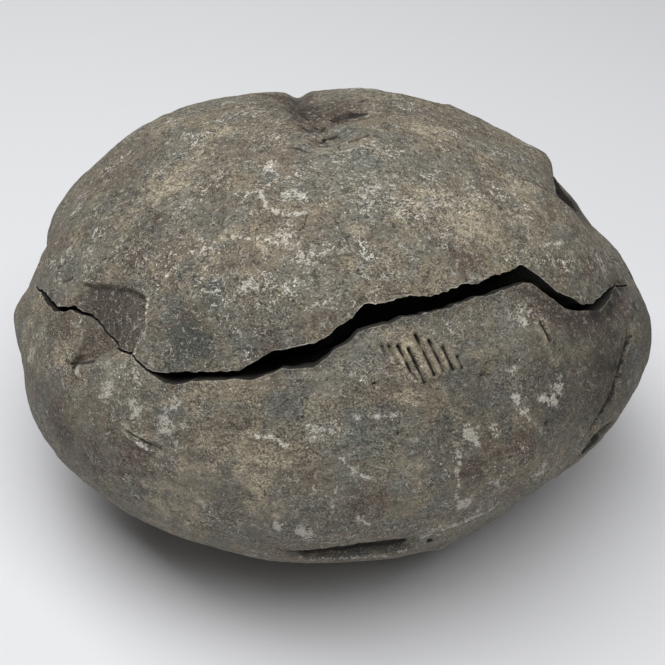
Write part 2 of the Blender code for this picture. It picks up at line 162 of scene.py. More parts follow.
# Steps: the skin on the right of the line, looking along it from outside, stands lower by this
# depth and comes back over this reach, both in mm
LEDGES = {
    "cap_scar": (1, 12, CAP_SCAR),
    "lower_slot": (2.4, 3.6, LOWER_SLOT),
    "bowl_scar": (1.3, 6, BOWL_SCAR),
    "belly_ledge": (0.5, 9, BELLY_LEDGE),
    "right_rind": (0.5, 3, RIGHT_SEAM),
    "back_scar": (1.3, 9, ((150, 12), (146, 4), (136, -3), (124, -6))),
    "rear_flake": (1.1, 8, ((40, 25), (44, 14), (54, 8), (66, 10))),
    "crown_scar": (0.9, 9, ((60, 40), (50, 47), (52, 56), (66, 60))),
}
LEDGE_RAMP = 0.5  # mm that each step takes to drop
LEDGE_END = 2.5  # mm over which a step fades out past its ends
LEDGE_SPAN = 2.5  # times its reach: how far out a step counts
HUMP_SPAN = 3.0  # times its half-width: how far out a groove or a stroke counts

# Pits: bearing, rise, half-width in mm, depth in mm
PITS = (
    (-59.2, 31, 1, 0.5), (-57.2, 32.6, 0.7, 0.4), (-61.3, 36.5, 0.8, 0.5), (-52.2, 30.7, 0.8, 0.4),
    (-80.4, 34.1, 0.5, 0.5), (-49.3, 14.4, 0.6, 0.6), (-10, 23.2, 1.6, 0.8),
    (-11.8, 17.3, 0.9, 0.6), (-158.3, 34.4, 2.6, 0.5), (111, 84.4, 1.9, 0.7), (44, 87, 2.2, 0.8),
    (-133, 76.5, 2.6, 0.6), (-80.5, 51, 1.4, 0.7), (-39, 8, 5, 0.8), (30, -12, 4.5, 1.3),
    (62, 38, 3.5, 1.1), (118, 32, 3.8, 1), (150, -16, 5, 1.3), (-160, -32, 4.5, 1.1),
    (-25, -38, 5, 1.2), (100, -44, 5.5, 1.3),
)

# Grooves of the short rows of ribs in front: bearing and rise of the top, bearing and rise of the
# foot, depth in mm
RIB_GROOVES = (
    (-77.7, 41.6, -77.3, 39.6, 0.4), (-76.3, 41.5, -75.1, 37.6, 0.6),
    (-74.4, 41.2, -72.6, 33.9, 0.8), (-72.4, 40.3, -70.9, 32.9, 0.9), (-70, 42.7, -68.6, 34.1, 0.9),
    (-67.5, 41, -66.6, 34.4, 0.9), (-65.1, 39.1, -64.6, 34.1, 0.9), (-62.8, 36.4, -62.7, 33.9, 0.6),
    (-44.3, 33, -44.2, 32.2, 0.5), (-41.5, 35.2, -41.9, 31, 0.9),
)
RIB_HALF_WIDTH = 0.28
RIB_PITCH = 1.5  # mm from groove to groove
RIB_HEIGHT = 0.3  # of a groove's depth: how far the rib beside it stands up
RIB_ROUNDNESS = 0.4  # of the pitch: a rib's half-width
RIB_END = 0.6  # mm over which a groove fades out past its ends
RIB_KEPT = 0.85  # of its depth: what a worn groove has left
RIB_WORN = ((1.7, 0.8),)  # how unevenly it is worn: wavelength in mm, share of its depth
RIB_LEAST, RIB_MOST = 0.5, 1.3  # the shares that it keeps within

# Uneven ground of the whole skin: wavelength and height in mm
UNEVENNESS = ((24, 0.9), (10, 0.45), (5, 0.18))
FACE_UNEVENNESS = ((12, 1.1), (5, 0.5))

# What only the fine meshes have: jags of the break's edge, as wavelength and height in degrees, and
# finer uneven ground
JAGS = ((4.5, 0.2), (1.7, 0.2), (0.9, 0.1))
FINE_GROUND = ((2.4, 0.14), (1.3, 0.07))
FACE_GRIT = ((2.4, 0.35), (1.3, 0.18))

# Seeds, so that no two kinds of uneven ground are alike
GROUND_SEED, FINE_GROUND_SEED = 3.0, 7.0
RIB_SEED, FACE_SEED = 5.0, 11.0
EDGE_SEED, LIP_SEED = 3.0, 19.0

# Short cracks and chips: half-width in mm, depth in mm, line
CRACKS = (
    (0.16, 0.28, ((-97.1, 68.8), (-97.1, 67.4), (-97.6, 65.4))),
    (0.14, 0.22, ((-86, 68.1), (-84.4, 66))),
    (0.16, 0.26, ((-84, 65.2), (-82.3, 63.2), (-81.2, 60.9))),
    (0.14, 0.18, ((-85.7, 47.8), (-82.4, 49.7), (-80.3, 51.3))),
    (0.14, 0.2, ((-75.1, 51.4), (-70.9, 51), (-68.2, 50.7))),
    (0.18, 0.14, ((-111.9, 18.4), (-110.4, 19.6), (-109.8, 20.8), (-109.6, 21.9), (-106.6, 23.1))),
    # On the slot's floor under its lip: its hollow paints the lip's shadow there as a dark line
    (0.55, 0.6, (
        (-95.2, -12.6), (-94, -13.2), (-91.5, -12.7), (-88.9, -12.3), (-85.5, -12.6),
        (-81.2, -12.6), (-76.3, -12.4),
    )),
    (0.3, 0.5, ((-141.8, 22.8), (-139, 24.9), (-136.6, 26.9))),
    # This row and the next: their hollows paint the undercut below the right rind dark as shade
    (0.5, 0.7, ((-33.6, -4.2), (-35, -5), (-36.1, -5.5), (-36.9, -6.8))),
    (0.25, 0.35, ((-36.9, -7.5), (-38.2, -9.4), (-39.5, -11.5), (-41, -14))),
    (0.2, 0.3, ((-33.7, 4), (-35.6, 2.6), (-37, 1), (-37.2, -1.6))),
    (0.18, 0.25, ((-60.5, 29.4), (-59.1, 31.1), (-57.7, 31.8))),
    (0.16, 0.25, ((-59.1, 31.1), (-57.2, 30.3))),
    (0.16, 0.22, ((-53.2, 30.5), (-51.8, 30.8))),
    (0.3, 0.42, ((80, 80), (69.6, 78.4), (63.6, 76.5), (60, 74.7))),
    (0.32, 0.45, ((-127.9, 89.4), (80.1, 88.1), (64.2, 87.3), (57.9, 85.8))),
    (0.3, 0.4, ((-109.3, 88), (-76.3, 87.9))),
    (0.4, 0.6, ((121.8, 83.3), (120.4, 84.5), (120, 85.5))),
    (0.35, 0.5, ((93.9, 84.4), (90.3, 83.4))),
    (0.28, 0.4, ((78, 71.1), (71.7, 70.4), (69.3, 67.1))),
    (0.35, 0.4, ((107.5, 76.5), (106, 79.4))),
    (0.3, 0.3, ((-14.5, 85.7), (14.2, 82.1))),
    (0.28, 0.4, ((-155.4, 84.1), (-139, 85.1), (-130, 85.3))),
    (0.3, 0.4, ((107.6, 62.9), (104, 66.5))),
    (0.3, 0.3, ((-163.3, 33.8), (-162.4, 36.5))),
    (0.3, 0.3, ((-158.7, 33.4), (-156.9, 36))),
)

# Small round holes: bearing, rise, radius in mm
HOLES = (
    (101, 83.3, 0.3), (-80.35, 34.5, 0.2), (-80.5, 33.5, 0.2), (-93.7, 28, 0.2),
    (-77.4, 23.6, 0.22), (-49.3, 14.4, 0.3), (-11.8, 17.3, 0.6), (-36, -2.3, 0.7),
    (-71.8, -12.6, 0.45),
)
HOLE_DEPTH = 2.0  # times a hole's radius

# Lines round which the meshes are split finer: whether on the cap, times, reach in mm, line
FINE_LINES = (
    (False, 2, 4.2, ((-77, 39.6), (-71, 37.6), (-64, 36.8))),
    (False, 2, 1.3, ((-44, 33.4), (-41.6, 34), (-41.7, 31.5))),
    (False, 1, 1.2, RIGHT_SEAM),
    (False, 1, 1.6, RIGHT_UNDERCUT),
    (False, 1, 1.6, LOWER_SLOT),
    (False, 1, 1.2, BOWL_SCAR),
    (False, 1, 1, LEFT_FOLD),
    (False, 1, 0.8, BELLY_LEDGE),
    (True, 1, 1, CAP_SCAR),
)
CRACK_REACH = 0.5  # mm split finer on both sides of a crack or hole

# Faces where a flake has come off, smoother and browner than the skin: whether on the cap, outline
SCARS = (
    (True, (
        (-150.5, 33), (-152, 35.8), (-149.5, 38.6), (-145.6, 41), (-138.2, 43.7), (-133.6, 43.9),
        (-131.8, 42.4), (-130.8, 41), (-129, 39), (-128.7, 35.6), (-129, 31), (-136, 30),
        (-144, 31),
    )),
    (False, (*BOWL_SCAR[::-1], (-138, 34))),
    (False, (
        (2, 40), (3.2, 37), (6, 35), (10, 30.5), (14, 26), (17.5, 23), (23, 25), (28, 30), (28, 36),
    )),
)
SCAR_BORDER = 0.35  # mm over which a scar's colour fades in

# Soft spots of colour, by kind: bearing, rise, radius in mm, strength
SPOTS = {
    "tan": (
        (-166, 62, 6, 0.8), (-175, 67, 5, 0.5), (24, 69.3, 4.6, 0.7), (12.7, 60.7, 4.2, 0.5),
        (-6, 54, 4.5, 0.6), (-45, 61, 4.2, 0.6), (-43, 68, 4.3, 0.5), (-124, 61, 3.2, 0.5),
        (-108, 62, 3, 0.7), (-76, 66, 3, 0.5), (-178, 46, 3.4, 0.4), (-22, 53, 2.5, 0.6),
        (75, 55, 6, 0.5), (125, 30, 6, 0.4), (-35, 60, 7, 0.8), (158, 72, 5, 0.45),
        (-147, 23, 3, 0.9), (-115, 0, 6.5, 0.7), (-69, 37.5, 2.6, 1), (-66, 36, 2.6, 1),
        (-73, 39, 2.4, 0.9), (-99.5, 7.8, 3.4, 0.8), (-100.7, 13.9, 3.4, 0.8),
        (-103, 17.5, 4.6, 0.8), (-97, 19, 3.2, 0.6), (-110, 16, 4.1, 0.6), (-75, 30.4, 1.7, 0.8),
        (-74.5, 15.4, 0.9, 0.9), (-42.8, 30, 1.1, 0.9), (-43.4, 26.5, 1.1, 0.8),
        (-119, 26, 2, 0.4), (100, 0, 9, 0.5),
    ),
    "grey": (
        (-163, 35.5, 3, 0.7), (145, 68, 3.4, 0.5), (-47, 81, 4.2, 0.7), (-133, 76, 2.2, 0.9),
        (-119, 48, 4.2, 0.7), (-118, 39, 4.9, 0.9), (-125, 44, 3.6, 0.7), (-107, 41, 3.2, 0.7),
        (-31, 59, 2.4, 0.4), (-158, 86, 3.2, 0.5), (32.7, 76.3, 1.4, 1), (-83.8, 24.2, 4.4, 1),
        (-75.7, 19.7, 3, 0.7), (-64.8, 31.1, 3.2, 0.7), (-50, -5, 5.4, 0.6), (-96, 31, 4.8, 0.6),
        (-78, 11, 3.6, 0.4), (-62, 36, 2.3, 0.5), (-47, 17, 3.4, 0.5), (-86, 15, 3.2, 0.6),
        (-21, 10, 3.2, 0.9), (-25, 3, 3, 0.8), (-118, 23, 4.6, 0.6), (-85, -13.5, 3, 0.7),
        (30, 5, 9, 0.6),
    ),
    "brown": (
        (-49, 53, 5, 0.5), (-100.8, 41.5, 2.2, 0.5), (-91, 46, 4.8, 0.4), (-133, 49, 3.4, 0.5),
        (-145, 50, 4.4, 0.5), (-152, 57, 4.4, 0.5), (104.5, 62, 2.6, 0.8), (106, 70, 3, 0.9),
        (104, 79, 4.6, 1), (75, 78, 4.2, 1), (118, 85, 2.6, 0.7), (-150, 88.8, 2, 0.6),
        (-18.8, 34.5, 3.6, 0.6), (-27, 40.4, 3.2, 0.5), (-83, 8.6, 3.8, 0.6),
        (-55.5, 12.5, 3.4, 0.8), (-65.4, 11.6, 2.4, 0.9), (-61.9, 15.2, 2, 0.8),
        (-77, 32, 2, 0.5), (-148.7, 28.5, 3, 0.8), (-140.6, 8.4, 7, 0.5), (-131, 6, 7, 0.5),
        (-124, 10, 7.2, 0.5), (-131, -5, 8.9, 0.3), (-25, 24, 3.4, 0.7), (-16, 21, 3.7, 0.7),
        (-35, 10, 2.9, 0.5), (-33, 18, 3.4, 0.5), (-117, 30, 2.3, 0.5), (150, 0, 10, 0.6),
        (60, -20, 12, 0.5),
    ),
    "pale": (
        (-108, 72.5, 1.5, 0.8), (-101, 72.2, 1.2, 0.9), (-109, 52.3, 1.6, 0.8), (-95, 59, 2, 0.7),
        (-103, 63, 2.3, 0.6), (-83, 62, 1.5, 0.5), (-126, 57, 1.8, 0.6), (134, 71, 2.6, 0.5),
        (-63, 73, 5.1, 0.35), (-40, 65, 5.1, 0.35), (-22, 61, 2.5, 0.45), (-140, 78, 1.6, 0.8),
        (-148, 62, 2.5, 0.3), (-12, 32, 1.8, 0.6), (-3.3, 27, 1.3, 0.6), (-164, 37, 1.8, 0.5),
        (-155.3, 13.9, 1.6, 0.6), (-130.5, 23, 1.8, 0.5), (-124, 22.2, 2, 0.6),
        (-117.5, 21.2, 2.2, 0.7), (-117, 25.5, 2, 0.4), (-139, 23.2, 0.9, 0.8),
        (-91, 25, 2.2, 0.4), (-64.8, 19.6, 1.5, 0.9), (-60.4, 18.8, 1, 0.7),
        (-68, 15.5, 1.1, 0.8), (-67, 2.2, 1.5, 0.8), (-53.9, 23.4, 1.3, 0.8),
        (-53, 20, 1, 0.6), (-48.9, 21, 0.8, 0.7), (-44.6, 21.8, 1.3, 0.8),
        (-46.6, 19, 1.3, 0.7), (-52.7, 29.4, 1.1, 0.5), (-56, 12.4, 1.3, 0.6), (-45, 39, 2, 0.4),
        (-60, 6, 2.8, 0.4), (-92.8, 1.4, 1.3, 0.8), (-97, 2.6, 0.9, 0.7), (-108, 2, 2, 0.4),
        (-84, 4, 0.8, 0.9), (-92, -1, 2, 0.4), (-72, -6, 2.4, 0.5), (-51, 2, 1.8, 0.6),
    ),
    "dark": (
        (-103, 26, 1.2, 0.35), (-141, 23.2, 0.8, 0.9), (-59, 31.2, 1.2, 0.5),
        # Painted shade: beside the right seam's step (this line), and the cap's shadow on the
        # bowl's lip (next line)
        (-27.6, 12.7, 2.2, 0.6), (-31.5, 9.5, 2.4, 0.5), (-29, 15.5, 2.4, 0.5),
        (-26.5, 27.8, 2.2, 0.8), (-21, 26.5, 2.4, 0.8), (-16, 25.5, 2, 0.8), (-11, 23, 1.4, 0.7),
        (-94, 27, 1.6, 0.3),
    ),
    "dull": (
        (-118, 40, 6.5, 0.85), (-100, 44, 6, 0.5), (-140, 38, 7, 0.5), (-151, 52, 6, 0.4),
        (-172, 52, 12, 0.25), (104, 76, 6.5, 0.85), (104, 60, 4.5, 0.75), (80, 78, 3.8, 0.65),
        (-150, 28, 4, 0.3), (-140, 8, 7.5, 0.35), (-131, 5, 6, 0.3), (-97, 30, 7, 0.3),
        (-80, 28, 8, 0.3), (-62, 27, 10, 0.65), (-45, 22, 10, 0.8), (-30, 15, 12, 1),
        # (-85, -13.5) is painted shadow on the slot's floor; (7, 33), (14, 26) and (20, 25) are
        # painted shade in the bay
        (-12, 10, 12, 0.7), (-55, 12, 9, 0.2), (-85, -13.5, 3, 0.9), (7, 33, 3.4, 1),
        (14, 26, 3.4, 1), (20, 25, 3.4, 1), (-103, 26, 3, 0.6),
    ),
}

# Strokes of colour, by kind: half-width in mm, strength, line
STROKES = {
    "tan": (
        (0.6, 1, ((-43.2, 33), (-42.8, 30.5), (-43.6, 26.6))),
        (0.6, 0.9, ((-77.8, 31.7), (-75.2, 30.7), (-72.6, 28.9))),
        (0.3, 1, ((-75.4, 41.2), (-73.8, 36))),
        (0.3, 1, ((-73.4, 40.6), (-71.7, 33.8))),
        (0.3, 1, ((-71.2, 41), (-69.8, 34))),
        (0.3, 1, ((-68.8, 41.4), (-67.6, 34.6))),
        (0.3, 1, ((-66.4, 40), (-65.6, 34.6))),
    ),
    "brown": (
        (1.6, 1, ((112, 57), (108, 66), (112, 76), (100, 84))),
        (1.4, 1, ((96, 62), (100, 70), (96, 78))),
        (1.4, 0.9, ((78, 71), (84, 76), (60, 80))),
        (2.6, 0.9, ((-40, 38), (-34, 30), (-26, 25), (-16, 23))),
    ),
    "pale": (
        (0.5, 0.9, (
            (-123.8, 71.7), (-119.2, 70), (-114.9, 68.8), (-110.3, 68.1), (-102, 68.2), (-98.1, 69),
        )),
        (0.4, 0.6, ((-143.7, 77.8), (-145.1, 79.5), (-135.8, 77))),
        (0.35, 0.7, ((-121.4, 60.9), (-112, 61.8), (-105.8, 61.7))),
        (0.35, 0.8, ((-97.3, 60.7), (-94.5, 58.4), (-91, 59.9), (-86.2, 61.5))),
        (0.35, 0.7, ((-132.4, 59), (-127.6, 57.9), (-126.8, 55.7))),
        (0.35, 0.8, ((-31.2, 78.1), (-10.3, 76.9), (-0.3, 73.8))),
        (0.35, 0.6, ((-59.5, 84.7), (-31.2, 83.6), (-2.3, 80.9))),
        (0.35, 0.7, ((-25.5, 46.6), (-19.5, 43.2))),
        # Painted highlight: thin pale lines along the edges of the cap's and the bowl's scar steps
        # (this row and the next)
        (0.2, 0.5, ((-132.2, 43.2), (-130.2, 41), (-128, 38.9), (-127.9, 35.6), (-128.2, 32.3))),
        (0.2, 0.5, ((-146.4, 31.6), (-144.2, 30.4), (-142.9, 28.5), (-142, 25.9))),
        (0.35, 0.7, PALE_RIDGE),
        (0.35, 0.7, ((-123.8, 16.4), (-121.6, 15.6), (-119.6, 14.6))),
        (0.3, 0.6, ((-124.6, 17.4), (-122.7, 17.1), (-120.1, 16.7))),
        (0.45, 0.8, ((-73.7, -9.7), (-69.3, -7.7), (-64.8, -6.2), (-60.7, -5.6))),
        (0.45, 0.9, ((-65.5, 21.2), (-64.7, 19.4), (-63.9, 17.2))),
        (0.4, 0.9, (
            (-68.2, 16.4), (-67.5, 14.5), (-68.3, 12.9), (-68.1, 9.7), (-68.5, 6), (-67.4, 0.7),
        )),
        (0.35, 0.8, ((-66.8, 2.7), (-65.8, 3.8))),
        (0.45, 0.9, ((-55, 24.9), (-53.8, 22.7), (-54.3, 21), (-53.3, 18.5))),
        (0.4, 0.9, ((-44.6, 22.9), (-43.5, 20.9), (-44.9, 19.3), (-47.9, 19.9), (-46.4, 17.9))),
        (0.35, 0.8, ((-87.1, 19.9), (-85.7, 17.3), (-84.5, 15.8), (-82.3, 14.6))),
        (0.3, 0.7, ((-91.6, 13.4), (-91.6, 7.2))),
        (0.3, 0.7, ((-87.8, 14.3), (-88.8, 7.5))),
        (0.35, 0.9, ((-85.1, 5.2), (-84, 4.1), (-83.1, 2.6))),
        (0.35, 0.5, ((-84.5, 27.8), (-76, 27.5))),
        (0.35, 0.6, ((-91.4, 24.5), (-89.7, 26))),
        (0.4, 0.6, ((-94, -15.5), (-87.6, -15.6), (-80.5, -17), (-76.1, -16))),
    ),
    "dark": (
        (0.45, 0.9, ((79, 79.6), (69.6, 77.8), (62, 75.8))),
        (0.3, 0.9, ((84, 80.4), (76, 80))),
        (0.45, 0.9, ((-127.9, 89.2), (80.1, 88.4), (62, 87.3))),
        (0.35, 0.8, ((-109.3, 88), (-76.3, 87.9))),
        (0.3, 0.9, ((121.8, 83.3), (120.4, 84.5), (120, 85.5))),
        (0.25, 0.6, ((107.6, 62.9), (104, 66.5))),
        (0.3, 0.9, ((-19.6, 15.8), *RIGHT_SEAM[1:-1])),
        # Painted shade: the black of the deep undercut below the right rind (this row and the next)
        (0.6, 1, ((-34, -2.2), (-35.8, -2.3), (-37.4, -3.2), (-38.4, -4.9))),
        (0.5, 1, ((-36.4, -1.6), (-39, -6), (-42, -10), (-46, -13.5))),
    ),
    "dull": (
        # Painted shadow: the slot's floor under its lip
        (1.1, 1, ((-93.5, -13.4), (-86.4, -13.9), (-82, -14), (-77, -13.6))),
        # Painted shade: the bowl's lip where it rounds down under the cap's edge, this row and the
        # next three
        (1, 0.7, ((-100, 36.8), (-95, 37.8), (-91, 38.8), (-86, 42.4), (-81, 45), (-72, 46.2))),
        (1.3, 0.7, ((-72, 46.2), (-60, 45.8), (-50, 45), (-42, 43.8))),
        (2.2, 0.9, (
            (-41, 43.5), (-38, 40.5), (-36.8, 36.8), (-34.5, 31.5), (-30, 28.3), (-24.5, 27),
        )),
        (2.4, 1, ((-26, 26.5), (-22, 26.2), (-18, 25.4), (-13, 23.6), (-8, 20.5))),
    ),
}

HOLLOW_DEPTH = 3.0  # mm at which a broad hollow is fully dark with painted shade
SMALL_HOLLOW_DEPTH = 0.42  # and a small one
LIP_WIDTH = 0.3  # mm, of the pale edge line of the break: partly wear, partly painted highlight
FACE_LIP = 0.5  # how far the hidden faces count as lying on that pale edge line

# Mesh: columns round the nodule, and rows on the skin and on the face of the break
COLUMNS = 540
CAP_ROWS = (100, 18)
BOWL_ROWS = (128, 16)
# How much closer the columns stand in front and the rows near the edge
FRONT_CROWDING = 0.3
EDGE_CROWDING = 1.25
KEEL_THINNING = 0.8
FACE_THINNING = 1.5

# Colours of the stone, as linear values
TONES = {
    "warm": (0.228, 0.191, 0.139),
    "cool": (0.235, 0.214, 0.169),
    "olive": (0.310, 0.264, 0.181),
    "slate": (0.190, 0.191, 0.160),
    "rust": (0.168, 0.129, 0.096),
    "tan": (0.420, 0.361, 0.258),
    "pale": (0.760, 0.725, 0.635),
    # For dark specks and stains, and for the painted shade in hollows and in some dark stains
    "grime_and_shade": (0.022, 0.018, 0.014),
    # Near black: painted shade on the faces inside the break, where the gap lies in shadow
    "break": (0.026, 0.023, 0.016),
    "scar": (0.145, 0.117, 0.090),
}

# Drifts of colour over the warm and cool ground, in order: pattern and tone, greatest strength
DRIFTS = (("olive", 0.75), ("slate", 0.7), ("rust", 0.5))

# Stains over the drifts, in order: kind of spot, tone
STAINS = (("tan", "tan"), ("grey", "slate"), ("brown", "rust"))

# What several noises share
GATE = (2, 0.5, 0, 1, 0.56, 0.60)
THREADS = (1.5, 0.5, 1, 1, 0.26, 0.10)
STAIN = (6, 0.66, 0.4, 1)

# Noises of the stone: number, by which it is shifted, size of the lumps in mm, detail, roughness,
# twist, how far the lumps are drawn out, and the values between which they come in, or for threads
# the half-widths in mm at which they fade and are full
PATTERNS = {
    "ground": (0, 16, 3, 0.5, 0, 1, 0.42, 0.58),
    "olive": (1, 9, 4, 0.6, 0.8, 1, 0.48, 0.62),
    "slate": (2, 6, 5, 0.6, 0.5, 1, 0.50, 0.64),
    "rust": (3, 8, 5, 0.65, 0.3, 1, 0.54, 0.68),
    "tan": (4, 2.6, *STAIN, 0.1, 0.9),
    "grey": (5, 2.6, *STAIN, 0.1, 0.9),
    "brown": (6, 2.4, *STAIN, 0.1, 0.7),
    "mottle": (7, 2.6, 6, 0.62, 0, 1, 0.30, 0.70),
    "grain": (8, 0.34, 2, 0.6, 0.3, 1, 0.36, 0.64),
    "cloud": (9, 6, 6, 0.7, 0, 1, 0.48, 0.66),
    "fine_gate": (10, 0.9, *GATE),
    "long_threads": (11, 2.0, *THREADS),
    "fine_threads": (12, 1.1, *THREADS),
    "grit": (13, 0.5, 2, 0.6, 0, 1, 0.69, 0.73),
    "crust": (14, 1.0, 7, 0.75, 0, 1, 0.578, 0.610),
    "dark": (16, 1.6, *STAIN, 0.3, 0.7),
    "edge_wear_and_highlight": (17, 2.8, 4, 0.6, 0, 1, 0.42, 0.60),
    "long_gate": (18, 1.5, *GATE),
    "dark_scratches_and_shade_threads": (19, 1.6, *THREADS),
    "dark_scratches_and_shade_gate": (20, 1.1, *GATE),
    "coarseness": (21, 7, 3, 0.55, 0, 1, 0.42, 0.58),
    "streaks": (22, 0.9, 4, 0.65, 1.2, 4.5, 0.34, 0.66),
}
PATTERN_STEP = (37.3, 11.9, 71.7)  # mm that one number shifts a noise by
NOISE_SLOPE = 0.25  # how much a noise changes over the size of its lumps

SPECKS = (15, 1.9, 0.22, 0.35)  # number, spacing and radius in mm, share of the places
SPECK_CORE = 0.6  # of a speck's radius: where it is full

# Values between which each comes in or dies out
FADES = {
    "stain": (0.05, 0.4),
    "hollow_shade": (0.15, 0.85),
    "smooth": (0, 0.7),
    "smooth_grit": (0.2, 0.8),
    "cloud": (0, 0.9),
    "crust": (0.02, 0.2),
    "fresh": (0.05, 0.3),
    "lip": (0.4, 0.9),
    "shine": (0.35, 0.65),
}
# The most that each covers the stone
COVERS = {"scar": 0.9, "crust": 0.55, "specks": 0.8, "hollow_shade": 0.95}
# How much a full cloud or crust widens the patches where scratches, grit or crust show
PULLS = {"scratches": 0.12, "grit": 0.10, "crust": 0.16}
# How far mottling, grain, flecks, dark scratches and specks lift the surface, in mm
LIFTS = (0.7, 0.35, 0.12, -0.12, -0.2)

RAGGEDNESS = 1.6  # how far noise carries a stain in and out
DULLING = 0.50  # how much of the lightness a fully dull spot takes away
MOTTLING = 0.20  # how much lighter and darker the mottling makes the stone
STREAKING = 0.16  # and the drawn-out streaks
GRAIN_SHARES = (0.5, 1.3)  # of the grain: where it is weakest and strongest
STROKE_COVERS = (0.35, 0.8)  # outside the clouds of scratches and inside
GRIT_LEFT = 0.2  # of the grit, where it is smooth
DARK_SCRATCH_AND_SHADE_SPREAD = 0.6  # how widely the dark scratches show, partly dark marks and partly painted fine shade
DARK_SCRATCH_AND_SHADE_DARKNESS = 0.55  # how much they darken the colour
LEAST_EDGE_WEAR_AND_HIGHLIGHT = 0.1  # of the pale line: where it is weakest
SHINE_ROUGHNESS = (0.68, 0.86)
BREAK_ROUGHNESS = 0.1  # how much rougher the broken faces are

# The halves: node, mesh rows, whether it is the cap, slot, and its stone: first pattern number,
# lightness, how scratched, how grainy, size of the crusts in mm, how pale the line along the
# break's edge is, partly wear and partly painted highlight
HALVES = (
    ("upper_half", CAP_ROWS, True, "upper_stone", (1.0, 0.745, 0.8, 0.38, 1.0, 0.6)),
    ("lower_half", BOWL_ROWS, False, "lower_stone", (31.0, 0.80, 0.5, 0.38, 1.7, 0.12)),
)

# The camera, in mm and degrees
CAMERA_ELEVATION = 40.0
CAMERA_DISTANCE = 250.0
CAMERA_AIM = (1.5, 0.0, 29.5)
FOCAL_SHARE = 1.88  # focal length over the frame's width
SENSOR_WIDTH = 36.0

# The studio, in metres and watts
FLOOR_SIZE = 4.0
FLOOR_COLOUR = (0.70, 0.705, 0.725)
FLOOR_ROUGHNESS = 0.95
SKY_COLOUR = (0.95, 0.97, 1.0)
SKY_STRENGTH = 0.03
LIGHT_AIM = (0, 0, 0.03)
LAMPS = (  # name, place, size, power
    ("overhead", (-0.045, -0.05, 0.58), (0.95, 0.42), 5.6),
    ("window", (-0.25, -0.7, 0.3), (0.6, 0.5), 0.35),
)


def direction(bearing, rise):
    bearing, rise = np.radians(bearing), np.radians(rise)
    level = np.cos(rise)
    return np.stack([level * np.cos(bearing), level * np.sin(bearing), np.sin(rise)], -1)


def half_axes(towards):
    """The plain ellipsoid's half-axes, which differ above and below its widest level."""
    upright = np.where(towards[..., 2] > 0, CROWN_HEIGHT, KEEL_DEPTH)
    return np.stack(np.broadcast_arrays(HALF_WIDTH, HALF_DEPTH, upright), -1)


def hump(distance, width):
    return np.exp(-((distance / width) ** 2))


def skin(bearing, rise):
    """Points of the plain swollen skin, in mm from the middle of the widest level."""
    towards = direction(bearing, rise)
    plain = towards * half_axes(towards)
    height = np.zeros(towards.shape[:-1])
    for swell_bearing, swell_rise, width, swell in SWELLINGS:
        closeness = np.clip(towards @ direction(swell_bearing, swell_rise), -1, 1)
        height = height + swell * hump(np.degrees(np.arccos(closeness)), width)
    return plain * (1 + height / np.linalg.norm(plain, axis=-1))[..., None]


def outward(bearing, rise):
    """Unit normals of the plain ellipsoid."""
    towards = direction(bearing, rise)
    normal = towards / half_axes(towards)
    return normal / np.linalg.norm(normal, axis=-1, keepdims=True)


def around(bearing, table, column=1):
    """A value from a table by bearing, carried round the full circle."""
    rows = sorted((row[0] % 360, row[column]) for row in table)
    bearings, values = zip(*rows)
    return np.interp(np.mod(bearing, 360), bearings, values, period=360)


def along(points, normals, line, reach):
    """The points near a line on the skin: their indices, how far from it they lie, on which side of
    it, and how far past its ends."""
    corners = skin(*np.array(line, float).T)
    inside = (points > corners.min(axis=0) - reach) & (points < corners.max(axis=0) + reach)
    near = np.flatnonzero(np.all(inside, axis=1))
    points, normals = points[near], normals[near]
    best = np.full(len(points), np.inf)
    side = np.zeros(len(points))
    past = np.zeros(len(points))
    last = len(corners) - 2
    for index in range(last + 1):
        start = corners[index]
        step = corners[index + 1] - start
        length = np.linalg.norm(step)
        step = step / length
        run = (points - start) @ step
        away = points - start - np.clip(run, 0, length)[:, None] * step
        distance = np.linalg.norm(away, axis=1)
        turn = np.einsum("ij,ij->i", away, np.cross(step, normals))
        over = np.zeros(len(points))
        if index == 0:
            over = np.maximum(over, -run)
        if index == last:
            over = np.maximum(over, run - length)
        nearer = distance < best
        best = np.where(nearer, distance, best)
        side = np.where(nearer, np.sign(turn), side)
        past = np.where(nearer, over, past)
    return near, best, side, past


def from_spot(points, bearing, rise):
    return np.linalg.norm(points - skin(float(bearing), float(rise)), axis=1)


def carve(points, normals, rows):
    """Height of grooves, in mm."""
    height = np.zeros(len(points))
    for width, depth, line in rows:
        near, distance, _, _ = along(points, normals, line, HUMP_SPAN * width)
        height[near] -= depth * hump(distance, width)
    return height


def relief(points, normals):
    """Height of the local features over the plain skin, in mm."""
    height = carve(points, normals, GROOVES.values())
    for depth, reach, line in LEDGES.values():
        near, distance, side, past = along(points, normals, line, LEDGE_SPAN * reach)
        inside = np.clip(side * distance / LEDGE_RAMP, 0, 1)
        height[near] -= depth * inside * hump(distance, reach) * hump(past, LEDGE_END)
    for bearing, rise, width, depth in PITS:
        height -= depth * hump(from_spot(points, bearing, rise), width)
    return height


def rib_relief(points, normals):
    """Height of the rib marks, in mm: worn grooves with a rounded rib between each two."""
    height = np.zeros(len(points))
    for top_bearing, top, foot_bearing, foot, depth in RIB_GROOVES:
        line = ((top_bearing, top), (foot_bearing, foot))
        near, distance, _, past = along(points, normals, line, HUMP_SPAN * RIB_PITCH)
        kept = RIB_KEPT + rough(points[near], RIB_WORN, RIB_SEED)
        kept = np.clip(kept, RIB_LEAST, RIB_MOST)
        fade = hump(past, RIB_END)
        rib = hump(distance - 0.5 * RIB_PITCH, RIB_ROUNDNESS * RIB_PITCH)
        height[near] -= depth * kept * fade * hump(distance, RIB_HALF_WIDTH)
        height[near] += RIB_HEIGHT * depth * fade * rib
    return height


